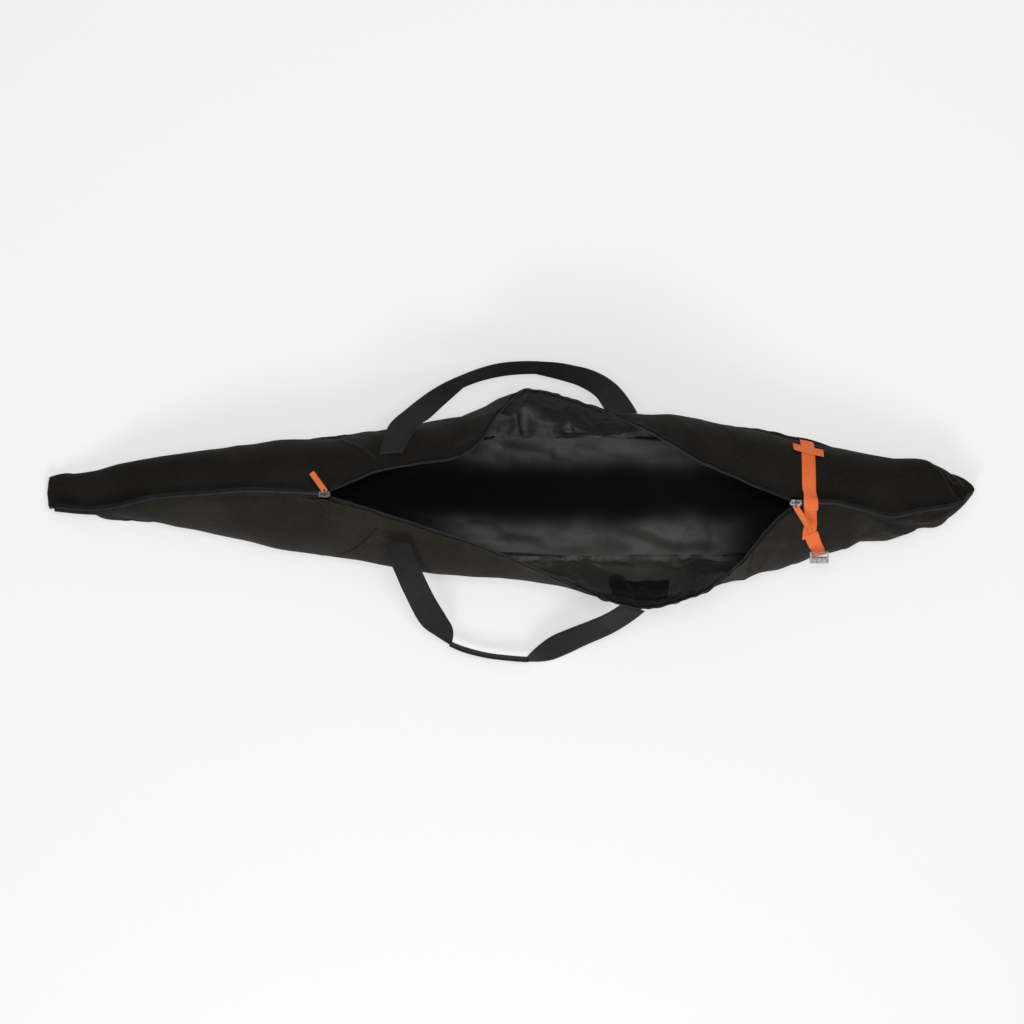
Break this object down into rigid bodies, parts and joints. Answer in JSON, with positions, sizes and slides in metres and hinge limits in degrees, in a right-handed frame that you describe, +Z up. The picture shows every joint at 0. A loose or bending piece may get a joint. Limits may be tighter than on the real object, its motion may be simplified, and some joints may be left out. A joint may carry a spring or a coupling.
{
  "type": "ski bag",
  "caption": "Long soft padded ski bag lying on its base with its top zip open between its sliders, with side carry handles and a compression strap.",
  "frame": {"origin": "on the floor, on the base's centre line, midway along the bag's straight run", "axes": "+X along the bag from its squared end to its folded tail, +Y to the far side, +Z up out of the mouth"},
  "size_m": [1.7718, 0.6019, 0.1854],
  "materials": {
    "shell_fabric": "matte",
    "lining_fabric": "satin",
    "foam_padding": "matte",
    "black_webbing": "matte",
    "zip_nylon": "satin",
    "orange_webbing": "matte",
    "black_hardware": "satin",
    "steel_hardware": "satin"
  },
  "bodies": {
    "bag": {"base_panel": "shell_fabric", "base_foam": "foam_padding", "far_wall_left": "shell_fabric", "near_wall_left": "shell_fabric", "far_wall_right": "shell_fabric", "near_wall_right": "shell_fabric", "zip_tape_shut_left": "zip_nylon", "zip_coil_shut_left": "zip_nylon", "zip_tape_shut_right": "zip_nylon", "zip_coil_shut_right": "zip_nylon", "left_end_panel": "shell_fabric", "right_end_panel": "shell_fabric", "tail_fold": "shell_fabric", "strap_band": "orange_webbing", "strap_slant": "orange_webbing", "buckle_frame": "steel_hardware"},
    "far_left_flap": {"far_mouth_skin_left": "shell_fabric", "far_mouth_foam_left": "foam_padding", "far_mouth_lining_left": "lining_fabric", "far_zip_tape_left": "zip_nylon"},
    "far_peak_flap": {"far_mouth_skin_peak": "shell_fabric", "far_mouth_foam_peak": "foam_padding", "far_mouth_lining_peak": "lining_fabric", "far_zip_tape_peak": "zip_nylon"},
    "far_right_flap": {"far_mouth_skin_right": "shell_fabric", "far_mouth_foam_right": "foam_padding", "far_mouth_lining_right": "lining_fabric", "far_zip_tape_right": "zip_nylon"},
    "near_left_flap": {"near_mouth_skin_left": "shell_fabric", "near_mouth_foam_left": "foam_padding", "near_mouth_lining_left": "lining_fabric", "near_zip_tape_left": "zip_nylon"},
    "near_peak_flap": {"near_mouth_skin_peak": "shell_fabric", "near_mouth_foam_peak": "foam_padding", "near_mouth_lining_peak": "lining_fabric", "near_zip_tape_peak": "zip_nylon", "inner_patch": "shell_fabric"},
    "near_right_flap": {"near_mouth_skin_right": "shell_fabric", "near_mouth_foam_right": "foam_padding", "near_mouth_lining_right": "lining_fabric", "near_zip_tape_right": "zip_nylon"},
    "left_slider": {"left_slider": "black_hardware"},
    "right_slider": {"right_slider": "steel_hardware"},
    "left_pull": {"left_pull_ring": "black_hardware", "left_pull_tab": "orange_webbing"},
    "right_pull": {"right_pull_ring": "steel_hardware", "right_pull_tab": "orange_webbing"},
    "far_handle_left_foot": {"far_handle_left_foot": "black_webbing"},
    "far_handle_right_foot": {"far_handle_right_foot": "black_webbing"},
    "far_handle": {"far_handle_left_leg": "black_webbing", "far_handle_grip": "black_webbing", "far_handle_right_leg": "black_webbing"},
    "near_handle_left_foot": {"near_handle_left_foot": "black_webbing"},
    "near_handle_right_foot": {"near_handle_right_foot": "black_webbing"},
    "near_handle": {"near_handle_left_leg": "black_webbing", "near_handle_grip": "black_webbing", "near_handle_right_leg": "black_webbing"},
    "strap_keeper": {"strap_keeper": "orange_webbing"},
    "buckle_cam": {"buckle_cam": "steel_hardware"},
    "strap_end": {"strap_end": "orange_webbing"}
  },
  "joints": [
    {"name": "far_right_flap_hinge", "type": "hinge", "parent": "bag", "child": "far_right_flap", "pos_m": [0, 0.112, 0.005], "axis": [1, 0, 0], "range_deg": [0, 71.5], "deforming": ["far_mouth_skin_right", "far_mouth_lining_right", "far_zip_tape_right"]},
    {"name": "far_left_flap_hinge", "type": "hinge", "parent": "bag", "child": "far_left_flap", "pos_m": [0, 0.112, 0.005], "axis": [1, 0, 0], "range_deg": [0, 28.01], "deforming": ["far_mouth_skin_left", "far_mouth_lining_left", "far_zip_tape_left"]},
    {"name": "far_peak_flap_hinge", "type": "hinge", "parent": "far_left_flap", "child": "far_peak_flap", "pos_m": [0, 0.112, 0.005], "axis": [1, 0, 0], "range_deg": [0, 43.51], "deforming": ["far_mouth_skin_peak", "far_mouth_lining_peak", "far_zip_tape_peak"]},
    {"name": "near_right_flap_hinge", "type": "hinge", "parent": "bag", "child": "near_right_flap", "pos_m": [0, -0.112, 0.005], "axis": [-1, 0, 0], "range_deg": [0, 74.41], "deforming": ["near_mouth_skin_right", "near_mouth_lining_right", "near_zip_tape_right"]},
    {"name": "near_left_flap_hinge", "type": "hinge", "parent": "bag", "child": "near_left_flap", "pos_m": [0, -0.112, 0.005], "axis": [-1, 0, 0], "range_deg": [0, 35.01], "deforming": ["near_mouth_skin_left", "near_mouth_lining_left", "near_zip_tape_left"]},
    {"name": "near_peak_flap_hinge", "type": "hinge", "parent": "near_left_flap", "child": "near_peak_flap", "pos_m": [0, -0.112, 0.005], "axis": [-1, 0, 0], "range_deg": [0, 39.41], "deforming": ["near_mouth_skin_peak", "near_mouth_lining_peak", "near_zip_tape_peak", "inner_patch"]},
    {"name": "left_slider_slide", "type": "slide", "parent": "bag", "child": "left_slider", "axis": [0.9998, -0.0191, 0], "range_m": [0, 0.4311]},
    {"name": "right_slider_slide", "type": "slide", "parent": "bag", "child": "right_slider", "axis": [-0.9998, 0.0191, 0], "range_m": [0, 0.4311]},
    {"name": "left_pull_hinge", "type": "hinge", "parent": "left_slider", "child": "left_pull", "pos_m": [-0.355, 0.004, 0.15226], "axis": [1, 0, 0], "range_deg": [0, 100]},
    {"name": "right_pull_hinge", "type": "hinge", "parent": "right_slider", "child": "right_pull", "pos_m": [0.537, -0.013, 0.153], "axis": [-1, 0, 0], "range_deg": [0, 100]},
    {"name": "far_handle_left_foot_hinge", "type": "hinge", "parent": "bag", "child": "far_handle_left_foot", "pos_m": [0, 0.112, 0.005], "axis": [1, 0, 0], "range_deg": [0, 20.41]},
    {"name": "far_handle_hinge", "type": "hinge", "parent": "far_handle_left_foot", "child": "far_handle", "pos_m": [-0.226, 0.10878, 0.15162], "axis": [0.983, 0.1834, 0.005], "range_deg": [0, 76]},
    {"name": "far_handle_right_foot_hinge", "type": "hinge", "parent": "far_handle", "child": "far_handle_right_foot", "pos_m": [0, 0.112, 0.005], "axis": [1, 0, 0], "range_deg": [0, 31.31]},
    {"name": "near_handle_left_foot_hinge", "type": "hinge", "parent": "bag", "child": "near_handle_left_foot", "pos_m": [0, -0.112, 0.005], "axis": [-1, 0, 0], "range_deg": [0, 15.11]},
    {"name": "near_handle_hinge", "type": "hinge", "parent": "near_handle_left_foot", "child": "near_handle", "pos_m": [-0.218, -0.11294, 0.14308], "axis": [-0.9592, 0.249, 0.1342], "range_deg": [0, 76]},
    {"name": "near_handle_right_foot_hinge", "type": "hinge", "parent": "near_handle", "child": "near_handle_right_foot", "pos_m": [0, -0.112, 0.005], "axis": [-1, 0, 0], "range_deg": [0, 57.91]},
    {"name": "strap_keeper_slide", "type": "slide", "parent": "bag", "child": "strap_keeper", "axis": [0, -0.609, 0.7931], "range_m": [-0.004, 0.004]},
    {"name": "buckle_cam_hinge", "type": "hinge", "parent": "bag", "child": "buckle_cam", "pos_m": [0.584, -0.11703, 0.09383], "axis": [-1, 0, 0], "range_deg": [0, 70]},
    {"name": "strap_end_hinge", "type": "hinge", "parent": "bag", "child": "strap_end", "pos_m": [0.586, -0.11434, 0.07792], "axis": [-1, 0, 0], "range_deg": [0, 35]}
  ],
  "couplings": [
    {"joint": "far_left_flap_hinge", "follows": "far_right_flap_hinge", "ratio": 0.39161},
    {"joint": "far_peak_flap_hinge", "follows": "far_right_flap_hinge", "ratio": 0.60839},
    {"joint": "near_right_flap_hinge", "follows": "far_right_flap_hinge", "ratio": 1.0406},
    {"joint": "near_left_flap_hinge", "follows": "far_right_flap_hinge", "ratio": 0.48951},
    {"joint": "near_peak_flap_hinge", "follows": "far_right_flap_hinge", "ratio": 0.55105},
    {"joint": "far_handle_left_foot_hinge", "follows": "far_right_flap_hinge", "ratio": 0.28531},
    {"joint": "near_handle_left_foot_hinge", "follows": "far_right_flap_hinge", "ratio": 0.21119},
    {"joint": "far_handle_right_foot_hinge", "follows": "far_right_flap_hinge", "ratio": 0.43776},
    {"joint": "near_handle_right_foot_hinge", "follows": "far_right_flap_hinge", "ratio": 0.80979},
    {"joint": "left_slider_slide", "follows": "far_right_flap_hinge", "m_per_rad": 0.34538},
    {"joint": "right_slider_slide", "follows": "far_right_flap_hinge", "m_per_rad": 0.34538}
  ]
}
